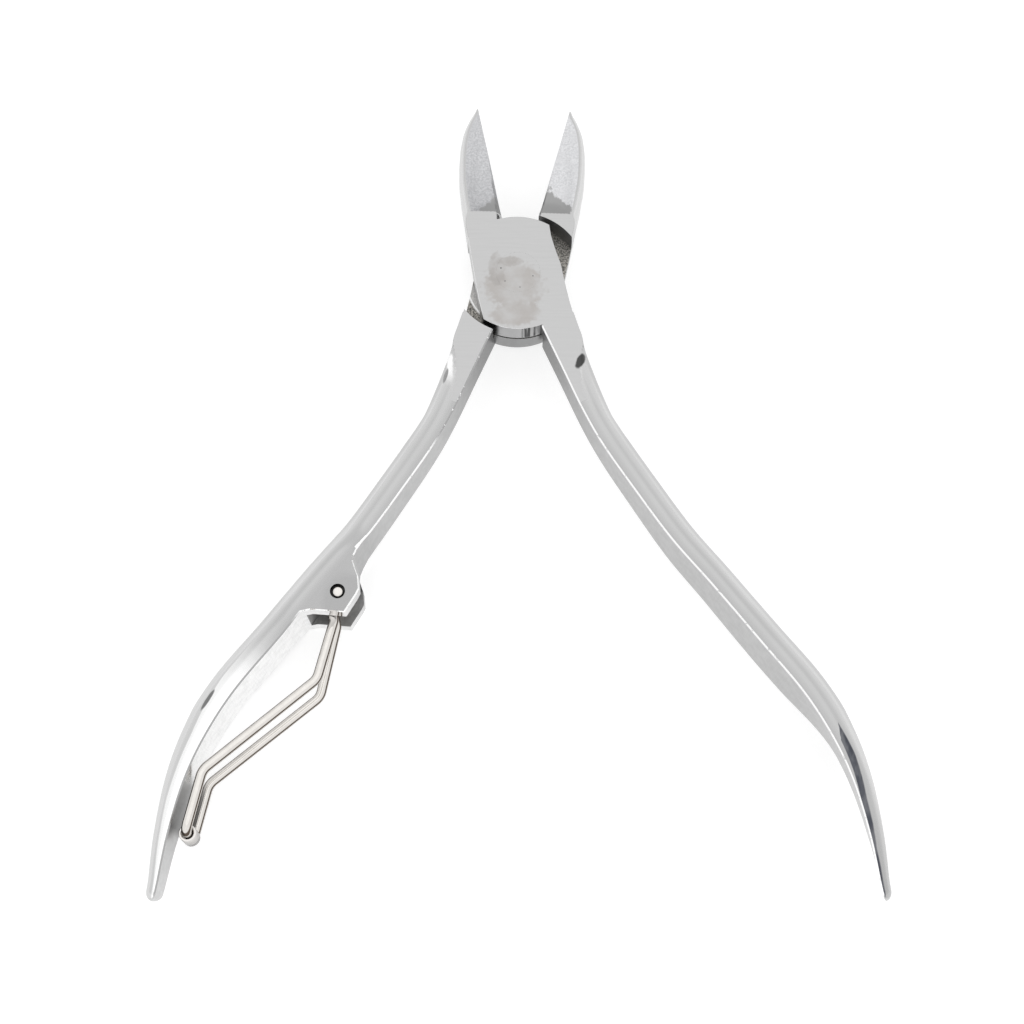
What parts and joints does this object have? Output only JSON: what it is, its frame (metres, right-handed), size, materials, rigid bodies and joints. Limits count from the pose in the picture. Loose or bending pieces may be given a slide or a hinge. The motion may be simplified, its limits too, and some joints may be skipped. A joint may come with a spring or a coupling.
{
  "type": "nail nipper",
  "caption": "Plier-type nail nipper: two lapped levers with short cutting jaws turn on a flush rivet, and a hinged wire spring with a roller folds against one handle.",
  "frame": {"origin": "pivot axis, on the flat rear face of the joint, with the jaws open and the spring folded away", "axes": "+Y along the tool's mid-line towards the jaws, +Z along the pivot towards the front face (the hollow-ground side), +X to the right seen from the front"},
  "size_m": [0.0948, 0.1143, 0.0105],
  "materials": {
    "lever_steel": "satin",
    "rivet_steel": "ground flush",
    "spring_steel": "bright drawn wire",
    "roller_steel": "turned"
  },
  "bodies": {
    "rear_half": {"rear_lever": "lever_steel", "pivot_rivet": "rivet_steel", "spring_pin": "rivet_steel"},
    "front_half": {"front_lever": "lever_steel"},
    "spring": {"spring_wire": "spring_steel"},
    "roller": {"spring_roller": "roller_steel"}
  },
  "joints": [
    {"name": "jaw_pivot", "type": "hinge", "parent": "rear_half", "child": "front_half", "pos_m": [0, 0, 0.00325], "axis": [0, 0, -1], "range_deg": [-70, 28]},
    {"name": "spring_swing", "type": "hinge", "parent": "rear_half", "child": "spring", "pos_m": [-0.02384, -0.04742, 0.00325], "axis": [0, 0, 1], "range_deg": [0, 72]},
    {"name": "roller_spin", "type": "hinge", "parent": "spring", "child": "roller", "pos_m": [-0.0424, -0.0786, 0.00325], "axis": [0.0302, 0.0605, 0.9977], "continuous": true}
  ]
}
